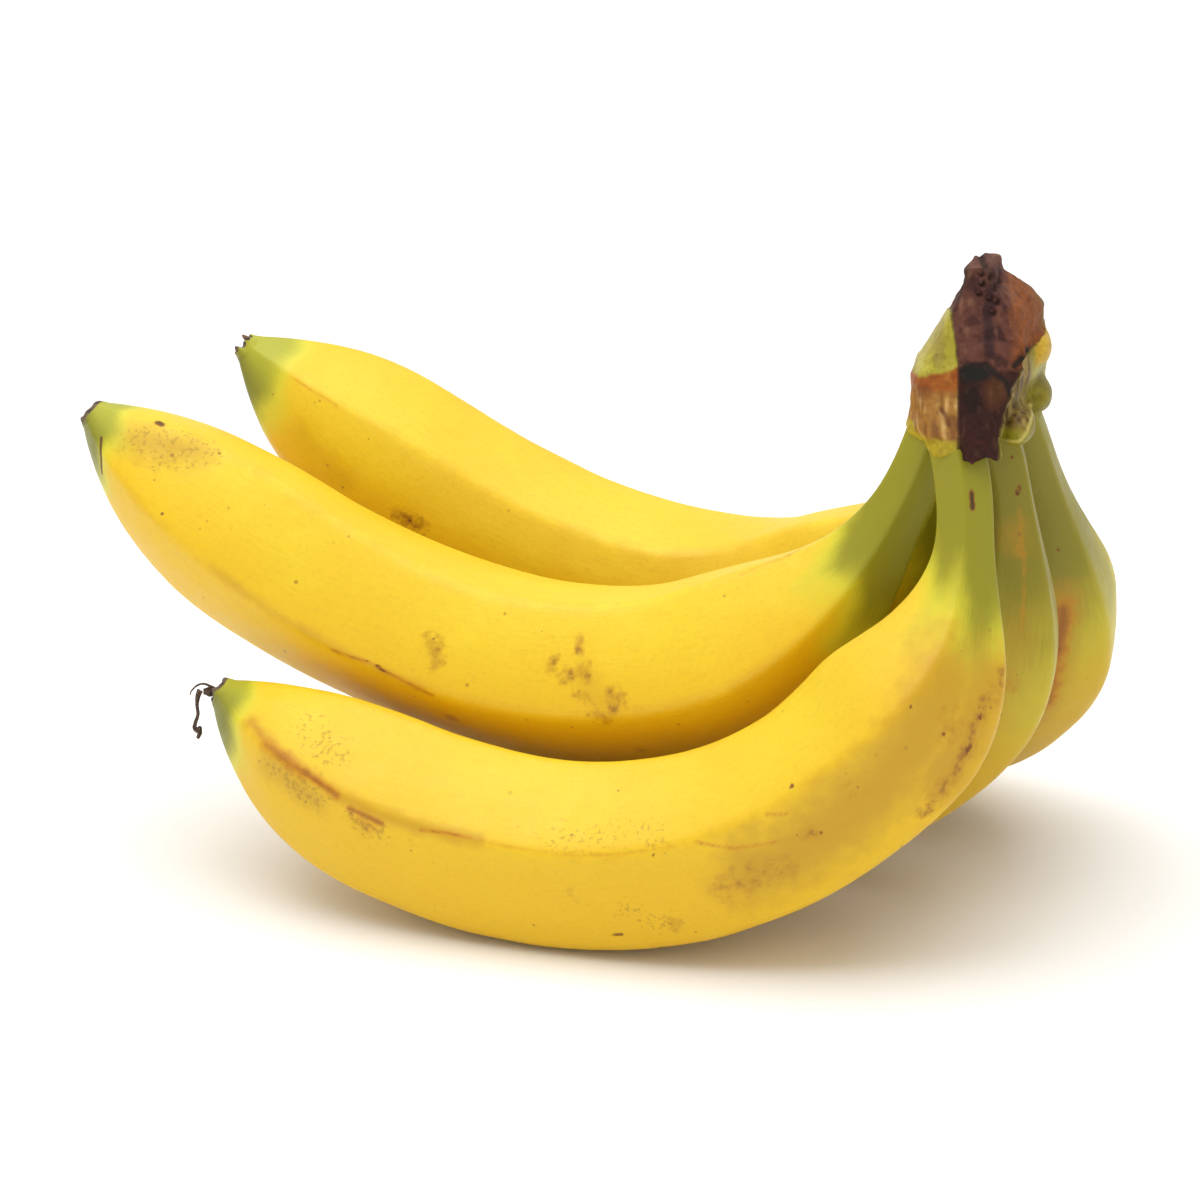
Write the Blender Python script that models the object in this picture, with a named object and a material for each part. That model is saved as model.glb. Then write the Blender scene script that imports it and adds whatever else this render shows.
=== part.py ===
"""Bunch of bananas: five fruits on one cut crown, lying on the round backs of the outer row.

Millimetres and degrees are used in the tables below, metres in the meshes. The crown points to +X and up,
the tips point to -X, the outer row rests on z = 0 and +Y is the side that the tips fan out to.
"""
import math

import bmesh
import bpy
from mathutils import Vector

MM = 0.001
CLEARANCE = 0.35            # gap left between touching pieces
SOCKET_CLEARANCE = 0.525     # gap left round a stalk in its socket, where the section turns fastest
STUB_CLEARANCE = 0.7        # gap left under the flower stub
PRESS = 0.4                 # how deep the fruit's weight flattens the skin where it rests

# The fruit: radii are shares of the girth radius, places are shares of the length.
STALK_SHARE = 0.285
TIP_SHARE = 0.20
TIP_START = 0.77
TIP_POWER = 2.6
RIDGE = 0.028               # five rounded ridges along the skin
RIDGE_SHARPNESS = 0.008
FINE_STEPS = 240
RINGS = 40
RING_CROWDING = 1.35         # above 1 the rings stand closer towards the tip
CUTTER_STEP = 4              # fine steps between the rings of a socket cutter
SEGMENTS = 20
END_DOME = 0.7              # height of the rounded blossom end, mm

# The place of the bunch's own middle, so that the origin is under the middle of its box.
MIDDLE_X = 0.5
MIDDLE_Y = 46.6

# root: where the stalk starts inside the crown. yaw: how far the tips point towards +Y.
# lean: how far the fruit leans towards +Y. climb: heading of the spine from root to tip, as a smooth
# curve's six handles. neck: where the stalk starts and stops widening. roll: the turn of the five ridges.
BANANAS = {
    "banana_front": {
        "root": (71.5, -12.0, 116.0), "yaw": 19, "lean": 13, "length": 234, "radius": 19.2,
        "climb": (-112, -79, -23, -1, 20, 33), "neck": (0.08, 0.31), "roll": 12,
    },
    "banana_right_inner": {
        "root": (80.0, 4.5, 111.5), "yaw": 25, "lean": -5, "length": 224, "radius": 19.2,
        "climb": (-111, -87, -18, 7, 10, 38), "neck": (0.06, 0.32), "roll": 16,
    },
    "banana_right_outer": {
        "root": (87.0, 18.5, 110.5), "yaw": 33, "lean": -26, "length": 232, "radius": 19.3,
        "climb": (-98, -94, -35, 10, 27, 41), "neck": (0.06, 0.33), "roll": 20,
    },
    "banana_middle": {
        "root": (71.0, -1.0, 115.0), "yaw": 16, "lean": -3, "length": 236, "radius": 19.0,
        "climb": (-74, -62, 1, 29, 28, 41), "neck": (0.05, 0.36), "roll": 25,
    },
    "banana_back": {
        "root": (75.0, 14.0, 114.5), "yaw": 23, "lean": -22, "length": 227, "radius": 19.3,
        "climb": (-91, -63, 5, 34, 34, 47), "neck": (0.06, 0.35), "roll": 27,
    },
}
RESTING = ("banana_front", "banana_right_inner", "banana_right_outer")

# The crown: flat oval sections from the collar round the stalks up to the cut top.
# Each is height, middle x, middle y, half length along the row, half thickness.
CROWN_TURN = 25             # how far the row of stalks turns from +Y towards +X
CROWN_ROUNDNESS = 2.4       # exponent of the oval, 2 is an ellipse
CROWN_SEGMENTS = 36
CROWN_SECTIONS = (
    (106.5, 78.0, 3.5, 20.0, 10.0),
    (109.0, 78.0, 3.5, 22.5, 12.0),
    (114.0, 78.5, 3.5, 24.0, 13.2),
    (121.0, 79.5, 3.5, 23.5, 13.4),
    (128.0, 80.5, 3.0, 20.5, 12.0),
    (134.0, 81.5, 2.5, 17.0, 10.0),
    (139.0, 82.0, 1.5, 13.0, 7.5),
    (143.0, 81.0, 0.5, 9.5, 4.8),
    (146.0, 79.8, 0.0, 7.0, 2.8),
)
SOCKET_REACH = 0.20         # share of a fruit's length that its socket cutter covers

# The dried flower remains on the front banana's tip.
STUB_LENGTH = 4.6
STUB_RADII = (1.5, 1.1, 1.0, 0.7)
STUB_BEND = (-0.75, -0.35, -0.25)   # direction that the stub's end turns to
STUB_SEGMENTS = 8
THREAD_RADIUS = 0.45
THREAD_DROP = (                     # the thread's route from the stub's end
    (0.0, 0.0, 0.0), (-0.3, 0.1, -2.6), (-0.1, 0.0, -5.4), (-0.9, -0.2, -7.6),
    (0.2, -0.4, -8.9), (-0.2, -0.2, -10.6),
)
THREAD_POINTS = 26
THREAD_SEGMENTS = 6

COLOURS = {
    "banana_front": (0.83, 0.60, 0.07), "banana_right_inner": (0.72, 0.49, 0.07),
    "banana_right_outer": (0.72, 0.48, 0.08), "banana_middle": (0.85, 0.62, 0.06),
    "banana_back": (0.87, 0.66, 0.10), "crown": (0.16, 0.07, 0.03),
    "flower_stub": (0.05, 0.03, 0.02), "flower_thread": (0.08, 0.05, 0.03),
}
SKIN_ROUGHNESS = 0.42
DRY_ROUGHNESS = 0.85


def smooth_step(value):
    """Ease from 0 to 1 with no kink at either end."""
    t = min(max(value, 0.0), 1.0)
    return t * t * t * (t * (6.0 * t - 15.0) + 10.0)


def heading(spec, s):
    """Angle of the spine above the horizontal at share s of its length."""
    handles = spec["climb"]
    order = len(handles) - 1
    total = 0.0
    for i, angle in enumerate(handles):
        total += math.comb(order, i) * s ** i * (1.0 - s) ** (order - i) * angle
    return math.radians(total)


def fruit_axes(spec):
    """Plan direction, side and lifted direction of the fruit's own plane."""
    yaw = math.radians(spec["yaw"])
    lean = math.radians(spec["lean"])
    along = Vector((-math.cos(yaw), math.sin(yaw), 0.0))
    across = Vector((math.sin(yaw), math.cos(yaw), 0.0))
    up = Vector((0.0, 0.0, 1.0))
    lifted = up * math.cos(lean) + across * math.sin(lean)
    side = across * math.cos(lean) - up * math.sin(lean)
    return along, side, lifted


def spine(spec):
    """Points and directions along the middle of the fruit, in millimetres."""
    along, side, lifted = fruit_axes(spec)
    step = spec["length"] / FINE_STEPS
    directions = []
    for i in range(FINE_STEPS + 1):
        angle = heading(spec, i / FINE_STEPS)
        directions.append(along * math.cos(angle) + lifted * math.sin(angle))
    points = [Vector(spec["root"]) - Vector((MIDDLE_X, MIDDLE_Y, 0.0))]
    for before, after in zip(directions, directions[1:]):
        points.append(points[-1] + (before + after) * (step / 2.0))
    return points, directions, side


def girth(spec, s):
    """Mean radius at share s: stalk, neck, body and blunt tip."""
    neck_start, neck_end = spec["neck"]
    neck = STALK_SHARE + (1.0 - STALK_SHARE) * smooth_step((s - neck_start) / (neck_end - neck_start))
    t = max(s - TIP_START, 0.0) / (1.0 - TIP_START)
    return spec["radius"] * neck * (1.0 - (1.0 - TIP_SHARE) * t ** TIP_POWER)


def ridge_factor(angle):
    """Five soft ridges with flatter sides between them."""
    return 1.0 + RIDGE * math.cos(5.0 * angle) + RIDGE_SHARPNESS * math.cos(10.0 * angle)


def ring(centre, direction, side, radius, roll):
    """One cross-section of a fruit, as a list of points."""
    inward = side.cross(direction)
    points = []
    for j in range(SEGMENTS):
        turn = 2.0 * math.pi * j / SEGMENTS
        angle = math.radians(roll) + turn
        reach = radius * ridge_factor(turn)
        points.append(centre + (inward * math.cos(angle) - side * math.sin(angle)) * reach)
    return points


def add_object(name, bm):
    """Turn a finished bmesh in millimetres into a named object with its own material."""
    bmesh.ops.recalc_face_normals(bm, faces=bm.faces)
    mesh = bpy.data.meshes.new(name)
    bmesh.ops.scale(bm, vec=(MM, MM, MM), verts=bm.verts)
    bm.to_mesh(mesh)
    bm.free()
    mesh.shade_smooth()
    obj = bpy.data.objects.new(name, mesh)
    bpy.context.collection.objects.link(obj)
    if name in COLOURS:
        mesh.materials.append(make_material(name))
    return obj


def make_material(name):
    """Plain Principled material for one piece."""
    material = bpy.data.materials.new(name)
    material.use_nodes = True
    shader = material.node_tree.nodes["Principled BSDF"]
    shader.inputs["Base Color"].default_value = (*COLOURS[name], 1.0)
    is_skin = name.startswith("banana")
    shader.inputs["Roughness"].default_value = SKIN_ROUGHNESS if is_skin else DRY_ROUGHNESS
    return material


def skin_rings(bm, rings):
    """Join rings of equal size into one closed tube."""
    loops = []
    for points in rings:
        loops.append([bm.verts.new(point) for point in points])
    count = len(loops[0])
    for low, high in zip(loops, loops[1:]):
        for j in range(count):
            k = (j + 1) % count
            bm.faces.new((low[j], low[k], high[k], high[j]))
    bm.faces.new(loops[0])
    return loops


def close_with_dome(bm, loop, direction, height):
    """Close the last ring with a shallow dome."""
    centre = sum((vert.co for vert in loop), Vector()) / len(loop)
    top = bm.verts.new(centre + direction * height)
    for j, vert in enumerate(loop):
        bm.faces.new((vert, loop[(j + 1) % len(loop)], top))


def ring_shares():
    """Ring places from stalk to tip, closer together towards the tip."""
    return [1.0 - (1.0 - i / RINGS) ** RING_CROWDING for i in range(RINGS + 1)]


def flatten_rest(bm):
    """Cut the pressed flat where the fruit touches the surface."""
    whole = bm.verts[:] + bm.edges[:] + bm.faces[:]
    bmesh.ops.bisect_plane(bm, geom=whole, plane_co=(0, 0, 0), plane_no=(0, 0, -1), clear_outer=True)
    open_edges = [edge for edge in bm.edges if edge.is_boundary]
    bmesh.ops.holes_fill(bm, edges=open_edges)


def fruit_rings(spec):
    """All cross-sections of one fruit and the direction of its tip."""
    points, directions, side = spine(spec)
    rings = []
    for share in ring_shares():
        i = round(share * FINE_STEPS)
        rings.append(ring(points[i], directions[i], side, girth(spec, i / FINE_STEPS), spec["roll"]))
    return rings, directions[-1]


def settle(spec):
    """Raise or lower a fruit until its lowest skin is pressed flat on the surface."""
    rings, _ = fruit_rings(spec)
    lowest = min(point.z for points in rings for point in points)
    x, y, z = spec["root"]
    spec["root"] = (x, y, z - lowest - PRESS)


def make_banana(name, spec):
    """One fruit from the top of its stalk to its blossom end."""
    rings, tip_direction = fruit_rings(spec)
    bm = bmesh.new()
    loops = skin_rings(bm, rings)
    close_with_dome(bm, loops[-1], tip_direction, END_DOME)
    if name in RESTING:
        flatten_rest(bm)
    return add_object(name, bm)


def make_socket_cutter(name, spec):
    """A tube a little wider than the stalk, which opens its socket in the crown."""
    points, directions, side = spine(spec)
    start = points[0] - directions[0] * CLEARANCE
    places = [(start, directions[0], 0.0)]
    last = round(SOCKET_REACH * FINE_STEPS)
    for i in range(CUTTER_STEP, last + 1, CUTTER_STEP):
        places.append((points[i], directions[i], i / FINE_STEPS))
    rings = []
    for centre, direction, share in places:
        rings.append(ring(centre, direction, side, girth(spec, share) + SOCKET_CLEARANCE, spec["roll"]))
    bm = bmesh.new()
    loops = skin_rings(bm, rings)
    bm.faces.new(loops[-1])
    cutter = add_object(name + "_socket_cutter", bm)
    cutter.hide_render = True
    cutter.display_type = "WIRE"
    return cutter


def crown_section(section):
    """One flat oval of the crown."""
    height, middle_x, middle_y, half_length, half_thickness = section
    turn = math.radians(CROWN_TURN)
    row = Vector((math.sin(turn), math.cos(turn), 0.0))
    out = Vector((math.cos(turn), -math.sin(turn), 0.0))
    centre = Vector((middle_x - MIDDLE_X, middle_y - MIDDLE_Y, height))
    power = 2.0 / CROWN_ROUNDNESS
    points = []
    for j in range(CROWN_SEGMENTS):
        angle = 2.0 * math.pi * j / CROWN_SEGMENTS
        u = math.copysign(abs(math.cos(angle)) ** power, math.cos(angle)) * half_length
        v = math.copysign(abs(math.sin(angle)) ** power, math.sin(angle)) * half_thickness
        points.append(centre + row * u + out * v)
    return points


def make_crown():
    """The cushion of stem, with a socket round each stalk."""
    bm = bmesh.new()
    loops = skin_rings(bm, [crown_section(section) for section in CROWN_SECTIONS])
    bm.faces.new(loops[-1])
    crown = add_object("crown", bm)
    for name, spec in BANANAS.items():
        cut = crown.modifiers.new(name + "_socket", "BOOLEAN")
        cut.operation = "DIFFERENCE"
        cut.solver = "EXACT"
        cut.object = make_socket_cutter(name, spec)
    return crown


def small_ring(centre, direction, radius, count):
    """A plain round cross-section."""
    first = direction.cross(Vector((0.0, 1.0, 0.0))).normalized()
    second = direction.cross(first).normalized()
    points = []
    for j in range(count):
        angle = 2.0 * math.pi * j / count
        points.append(centre + (first * math.cos(angle) + second * math.sin(angle)) * radius)
    return points


def add_tube(name, path, radii, count):
    """A closed round tube along a path."""
    rings = []
    for i, (centre, radius) in enumerate(zip(path, radii)):
        before = path[max(i - 1, 0)]
        after = path[min(i + 1, len(path) - 1)]
        rings.append(small_ring(centre, (after - before).normalized(), radius, count))
    bm = bmesh.new()
    loops = skin_rings(bm, rings)
    bm.faces.new(loops[-1])
    return add_object(name, bm)


def smooth_path(handles, count):
    """Points on a smooth curve through the handles."""
    ends = [handles[0] * 2.0 - handles[1]] + handles + [handles[-1] * 2.0 - handles[-2]]
    spans = len(handles) - 1
    path = []
    for i in range(count):
        place = spans * i / (count - 1)
        k = min(int(place), spans - 1)
        t = place - k
        a, b, c, d = ends[k:k + 4]
        path.append(0.5 * (2.0 * b + (c - a) * t + (2.0 * a - 5.0 * b + 4.0 * c - d) * t * t
                           + (3.0 * b - a - 3.0 * c + d) * t * t * t))
    return path


def make_flower_remains():
    """The dried stub on the front banana's tip and the thread that hangs from it."""
    points, directions, _ = spine(BANANAS["banana_front"])
    base = points[-1] + directions[-1] * (END_DOME + STUB_CLEARANCE)
    step = STUB_LENGTH / (len(STUB_RADII) - 1)
    path = [base]
    for i in range(1, len(STUB_RADII)):
        share = i / (len(STUB_RADII) - 1)
        bend = directions[-1].lerp(Vector(STUB_BEND), share).normalized()
        path.append(path[-1] + bend * step)
    add_tube("flower_stub", path, STUB_RADII, STUB_SEGMENTS)
    hook = path[-1] + bend * (CLEARANCE + THREAD_RADIUS)
    thread = smooth_path([hook + Vector(drop) for drop in THREAD_DROP], THREAD_POINTS)
    add_tube("flower_thread", thread, [THREAD_RADIUS] * THREAD_POINTS, THREAD_SEGMENTS)


def main():
    for obj in list(bpy.data.objects):
        bpy.data.objects.remove(obj, do_unlink=True)
    for name in RESTING:
        settle(BANANAS[name])
    for name, spec in BANANAS.items():
        make_banana(name, spec)
    make_crown()
    make_flower_remains()


main()
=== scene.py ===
import math

import bpy
import numpy as np
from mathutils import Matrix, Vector


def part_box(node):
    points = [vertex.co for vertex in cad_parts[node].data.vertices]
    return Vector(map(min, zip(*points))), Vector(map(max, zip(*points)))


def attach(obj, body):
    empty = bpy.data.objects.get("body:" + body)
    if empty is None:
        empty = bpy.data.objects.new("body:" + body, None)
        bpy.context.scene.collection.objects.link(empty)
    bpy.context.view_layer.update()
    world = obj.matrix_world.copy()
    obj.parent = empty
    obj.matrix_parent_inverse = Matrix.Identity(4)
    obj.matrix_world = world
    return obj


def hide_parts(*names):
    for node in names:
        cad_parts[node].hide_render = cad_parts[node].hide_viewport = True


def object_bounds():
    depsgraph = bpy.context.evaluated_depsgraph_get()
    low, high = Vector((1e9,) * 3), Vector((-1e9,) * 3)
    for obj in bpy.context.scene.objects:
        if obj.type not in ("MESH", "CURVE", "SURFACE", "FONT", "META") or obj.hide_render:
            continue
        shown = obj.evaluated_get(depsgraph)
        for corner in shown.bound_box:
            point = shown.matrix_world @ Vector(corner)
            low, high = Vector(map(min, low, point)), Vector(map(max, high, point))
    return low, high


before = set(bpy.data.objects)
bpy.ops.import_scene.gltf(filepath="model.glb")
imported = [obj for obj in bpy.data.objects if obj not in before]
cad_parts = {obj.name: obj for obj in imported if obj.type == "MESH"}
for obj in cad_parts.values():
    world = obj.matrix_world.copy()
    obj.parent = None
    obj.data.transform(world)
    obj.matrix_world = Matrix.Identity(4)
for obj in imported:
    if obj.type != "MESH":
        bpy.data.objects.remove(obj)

CAD_BOX = [list(corner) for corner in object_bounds()]
MM = 0.001

# ------------------------------------------------------------
# Driving values. Lengths are millimetres, turns are degrees, places along a fruit are shares of its length.
# ------------------------------------------------------------
STALK_SHARE = 0.285          # stalk radius over girth radius
TIP_SHARE = 0.20             # blossom end radius over girth radius
TIP_START = 0.77
TIP_POWER = 2.6
SPINE_STEPS = 960
RINGS = 400
SEGMENTS = 220
RING_CROWDING = 1.25         # above 1 the rings stand closer towards the tip
MIDDLE = Vector((0.5, 46.6, 0.0))
PRESS = 0.4
RESTING = ("banana_front", "banana_right_inner", "banana_right_outer")

# root, yaw, lean, length, radius, climb and neck repeat the construction. rolls turns the five ridges, as
# (place, turn) steps. green is where the neck stops and where it starts to be ripe, then the length of the
# green at the tip, in mm. dull moves the yellow towards brown.
FRUITS = {
    "banana_front": {
        "root": (71.5, -12.0, 116.0), "yaw": 19, "lean": 13, "length": 234, "radius": 19.2,
        "climb": (-112, -79, -23, -1, 20, 33), "neck": (0.08, 0.31),
        "rolls": ((0.0, 30), (0.20, 30), (0.35, 12), (0.75, 11), (1.0, 18)),
        "green": (0.08, 0.205, 14.0), "dull": 0.10, "seed": 3,
    },
    "banana_right_inner": {
        "root": (80.0, 4.5, 111.5), "yaw": 25, "lean": -5, "length": 224, "radius": 19.2,
        "climb": (-111, -87, -18, 7, 10, 38), "neck": (0.06, 0.32),
        "rolls": ((0.0, 24), (0.35, 16), (1.0, 18)),
        "green": (0.06, 0.34, 10.0), "dull": 0.55, "seed": 11,
    },
    "banana_right_outer": {
        "root": (87.0, 18.5, 110.5), "yaw": 33, "lean": -26, "length": 232, "radius": 19.3,
        "climb": (-98, -94, -35, 10, 27, 41), "neck": (0.06, 0.33),
        "rolls": ((0.0, 26), (0.35, 20), (1.0, 22)),
        "green": (0.06, 0.32, 11.0), "dull": 0.45, "seed": 19,
    },
    "banana_middle": {
        "root": (71.0, -1.0, 115.0), "yaw": 16, "lean": -3, "length": 236, "radius": 19.0,
        "climb": (-74, -62, 1, 29, 28, 41), "neck": (0.05, 0.36),
        "rolls": ((0.0, 20), (0.35, 26), (0.6, 29), (0.85, 21), (1.0, 25)),
        "green": (0.10, 0.235, 14.0), "dull": 0.0, "seed": 27,
    },
    "banana_back": {
        "root": (75.0, 14.0, 114.5), "yaw": 23, "lean": -22, "length": 227, "radius": 19.3,
        "climb": (-91, -63, 5, 34, 34, 47), "neck": (0.06, 0.35),
        "rolls": ((0.0, 8), (0.35, 9), (0.5, 24), (0.8, 31), (1.0, 36)),
        "green": (0.10, 0.24, 17.0), "dull": 0.0, "seed": 35,
    },
}

# Blemishes on each fruit, by kind. Each is (width in mm, strength, then one or more (place, turn) pairs that it
# runs through). Turn 0 faces the inside of the bend, 90 the front and 180 the outside of the bend.
# tan: soft golden brown. bruise: flecked brown. rust: red-brown scuffs. cracks: fine dark crazing. dark: spots.
MARKS = {
    "banana_front": {
        "tan": (
            (15, 0.8, (0.22, 116), (0.34, 115), (0.44, 117)), (12, 0.8, (0.21, 150), (0.28, 145)),
            (10, 0.45, (0.4, 116), (0.47, 118)), (7, 0.55, (0.91, 96), (0.85, 97)), (5, 0.45, (0.8, 97)),
            (3.2, 0.6, (0.95, 80), (0.9, 84), (0.83, 86), (0.75, 84), (0.69, 81)),
        ),
        "bruise": (
            (2.6, 0.9, (0.205, 170), (0.225, 156), (0.242, 151), (0.28, 150), (0.315, 152)),
            (5.0, 0.6, (0.425, 120), (0.47, 119)), (3.0, 0.5, (0.525, 138)), (5.5, 0.55, (0.25, 131)),
            (3.0, 0.5, (0.333, 106)), (2.5, 0.5, (0.379, 114), (0.396, 108)), (3.0, 0.4, (0.6, 110)),
        ),
        "rust": (
            (1.8, 0.5, (0.948, 79), (0.925, 84)), (3.0, 0.75, (0.922, 85), (0.9, 85), (0.875, 85)),
            (1.7, 0.9, (0.875, 84), (0.85, 85), (0.832, 86)), (0.8, 1.0, (0.862, 85), (0.832, 86)),
            (1.3, 0.9, (0.817, 90), (0.783, 90)), (2.6, 0.45, (0.813, 94), (0.786, 95)),
            (0.8, 0.75, (0.746, 85), (0.721, 82), (0.696, 81)), (1.0, 0.4, (0.69, 81), (0.6, 83), (0.5, 84)),
            (0.8, 0.6, (0.408, 86), (0.392, 92)), (0.8, 0.65, (0.479, 85), (0.45, 96), (0.412, 104)),
        ),
        "cracks": (
            (3.4, 1.0, (0.905, 93), (0.88, 95), (0.846, 97)), (2.8, 1.0, (0.812, 96), (0.783, 97)),
            (6.0, 0.5, (0.896, 56), (0.875, 60), (0.854, 65)), (4.0, 0.5, (0.558, 123), (0.53, 138)),
            (4.0, 0.5, (0.43, 120)), (5.0, 0.35, (0.62, 72), (0.52, 74)),
        ),
        "dark": (
            (0.8, 1.0, (0.375, 80)), (0.65, 0.8, (0.25, 100)), (0.55, 0.65, (0.271, 96)),
            (0.55, 0.7, (0.233, 130)), (0.6, 0.7, (0.254, 117)), (0.9, 0.7, (0.258, 130)),
            (0.9, 0.85, (0.237, 153)), (0.8, 0.8, (0.258, 153), (0.262, 152)), (0.6, 0.75, (0.329, 94)),
            (0.55, 0.6, (0.3, 100)), (0.5, 0.5, (0.333, 106)), (0.5, 0.5, (0.312, 84)),
            (0.75, 0.8, (0.379, 114)), (0.6, 0.7, (0.396, 107)), (0.7, 0.7, (0.525, 81)),
            (0.55, 0.6, (0.521, 87)), (0.6, 0.65, (0.921, 102)), (0.5, 0.55, (0.9, 58)),
            (0.5, 0.6, (0.729, 104)), (0.8, 0.7, (0.575, 142), (0.569, 142)),
            (1.00, 1.0, (0.068, 120), (0.08, 120)),
        ),
    },
    "banana_middle": {
        "tan": (
            (9, 0.6, (0.95, 50), (0.9, 32)), (3.0, 0.35, (0.82, 93), (0.7, 98), (0.6, 101)),
            (5, 0.4, (0.6, 74)), (8, 0.35, (0.45, 72), (0.43, 92)), (2.6, 0.8, (0.571, 122)),
        ),
        "bruise": (
            (2.2, 0.9, (0.608, 67), (0.603, 69)), (3.0, 0.7, (0.596, 72), (0.594, 81)),
            (1.6, 1.0, (0.454, 47), (0.455, 56)), (1.8, 0.9, (0.479, 62), (0.482, 69)),
            (3.2, 0.8, (0.467, 73), (0.446, 70)), (2.6, 0.8, (0.421, 83), (0.413, 89), (0.421, 94)),
            (2.6, 0.6, (0.438, 97), (0.43, 101)), (2.0, 0.55, (0.455, 83), (0.44, 90)),
            (2.0, 0.6, (0.415, 139)), (1.2, 0.5, (0.215, 22), (0.195, 18)),
        ),
        "rust": (
            (0.9, 0.75, (0.688, 100), (0.654, 97), (0.621, 99), (0.588, 102)), (1.5, 0.65, (0.454, 50)),
            (2.0, 0.4, (0.571, 122)), (0.8, 0.4, (0.26, 26), (0.2, 20)),
        ),
        "cracks": ((6.5, 0.75, (0.945, 48), (0.925, 42), (0.9, 31)), (4.0, 0.6, (0.885, 25))),
        "dark": (
            (1.2, 1.0, (0.946, 21), (0.943, 22)), (0.55, 1.0, (0.979, 85), (0.967, 104), (0.958, 127)),
            (0.5, 0.8, (0.879, 25)), (0.5, 0.6, (0.912, 72)), (0.65, 0.75, (0.887, 87)),
            (0.5, 0.6, (0.838, 48)), (0.5, 0.7, (0.838, 55)), (0.4, 0.5, (0.812, 39)),
            (0.4, 0.5, (0.825, 66)), (0.5, 0.75, (0.792, 9)), (0.5, 0.75, (0.775, 14)),
            (0.5, 0.5, (0.963, 49)), (0.5, 0.8, (0.654, 97)), (0.55, 0.9, (0.645, 97), (0.637, 98)),
            (0.5, 0.8, (0.621, 99)), (0.45, 0.7, (0.604, 101)), (0.5, 0.6, (0.603, 67)),
            (0.5, 0.7, (0.457, 48)), (0.45, 0.6, (0.479, 63)),
        ),
    },
    "banana_back": {
        "tan": ((10, 0.35, (0.91, 75), (0.85, 76)), (6, 0.5, (0.775, 74))),
        "bruise": ((3.0, 0.9, (0.782, 74), (0.76, 74)),),
        "rust": ((0.7, 0.45, (0.95, 38), (0.9, 36)),),
        "cracks": ((3.4, 0.9, (0.782, 74), (0.758, 74)),),
        "dark": (
            (0.6, 0.6, (0.917, 41)), (0.45, 0.5, (0.896, 58)), (0.5, 0.55, (0.854, 42)),
            (0.45, 0.5, (0.838, 9)), (0.6, 0.6, (0.871, 78)), (0.6, 0.6, (0.846, 84)),
            (0.9, 0.8, (0.771, 74)), (0.6, 0.7, (0.779, 73)),
        ),
    },
    "banana_right_inner": {
        "tan": ((12, 0.4, (0.2, 130), (0.32, 130)), (8, 0.5, (0.12, 120))),
        "bruise": ((4.0, 0.45, (0.24, 128), (0.28, 128)), (4.0, 0.4, (0.13, 120))),
        "rust": ((1.2, 0.4, (0.1, 135), (0.2, 132)),),
        "cracks": (),
        "dark": ((0.75, 0.9, (0.079, 145)), (0.95, 0.9, (0.083, 137)), (0.65, 0.8, (0.05, 141)),
                 (0.5, 0.6, (0.155, 128))),
    },
    "banana_right_outer": {
        "tan": ((9, 0.7, (0.2, 129), (0.26, 124), (0.33, 127)),),
        "bruise": ((3.0, 0.5, (0.23, 127), (0.29, 126)),),
        "rust": ((4.2, 0.95, (0.205, 130), (0.254, 123), (0.304, 127)), (2.6, 0.5, (0.304, 127), (0.35, 126))),
        "cracks": (),
        "dark": ((0.75, 0.7, (0.15, 133)),),
    },
}

# The blossom end: lobes left by the flower, as (turn, height, spread), and how brown its rim is.
TIP_LOBES = {
    "banana_front": (0.8, ((20, 0.8, 20), (95, 0.9, 20), (170, 0.5, 20), (250, 0.6, 20), (310, 0.7, 20))),
    "banana_right_inner": (0.9, ((30, 0.7, 18), (110, 0.5, 18), (200, 0.8, 18), (290, 0.6, 18))),
    "banana_right_outer": (0.9, ((10, 0.6, 18), (90, 0.8, 18), (180, 0.5, 18), (270, 0.7, 18))),
    "banana_middle": (1.0, ((15, 0.3, 26), (80, 0.3, 26), (150, 0.4, 26), (230, 0.3, 26), (300, 0.3, 26))),
    "banana_back": (0.1, ((14, 2.3, 15), (86, 1.7, 17), (150, 0.7, 16), (235, 0.6, 16), (300, 0.8, 16))),
}

# The crown, by height: middle x, middle y, half width, half depth.
CROWN_STEP = 0.36
CROWN_LOW = (58.0, -73.0, 101.0)
CROWN_HIGH = (99.0, -13.0, 148.0)
CROWN_TOP = 145.9
CROWN_SHEAR = 0.30
CROWN_POWER = 2.5
CROWN_SECTIONS = (
    (104.0, 78.2, -43.5, 9.0, 19.0),
    (110.0, 78.3, -43.3, 13.2, 23.0),
    (116.0, 78.5, -43.3, 13.6, 23.8),
    (123.0, 78.5, -43.3, 14.6, 23.6),
    (127.0, 79.1, -43.6, 13.4, 22.0),
    (130.0, 79.7, -44.2, 12.2, 20.0),
    (133.5, 80.5, -45.8, 11.2, 18.0),
    (137.5, 80.3, -48.2, 9.0, 15.0),
    (140.5, 79.0, -50.2, 6.6, 12.5),
    (143.0, 77.9, -51.4, 4.8, 10.8),
    (147.0, 77.5, -52.2, 4.0, 9.6),
)
CUT_POINT = (78.0, -67.6, 112.0)     # a point on the cut face and the way that it faces
CUT_NORMAL = (0.05, -0.955, 0.292)
COLLAR_START = 3.0                   # how far above its stalk each collar starts, mm
COLLAR_REACH = {                     # how far down its stalk each collar runs, mm, and its extra radius
    "banana_front": (8.6, 1.0), "banana_right_inner": (5.6, 0.8), "banana_right_outer": (4.6, 0.8),
    "banana_middle": (7.2, 1.0), "banana_back": (6.0, 0.9),
}
FACE_SHIFT = 0.7                     # the painted cut face stands this much higher than its measured heights
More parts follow.
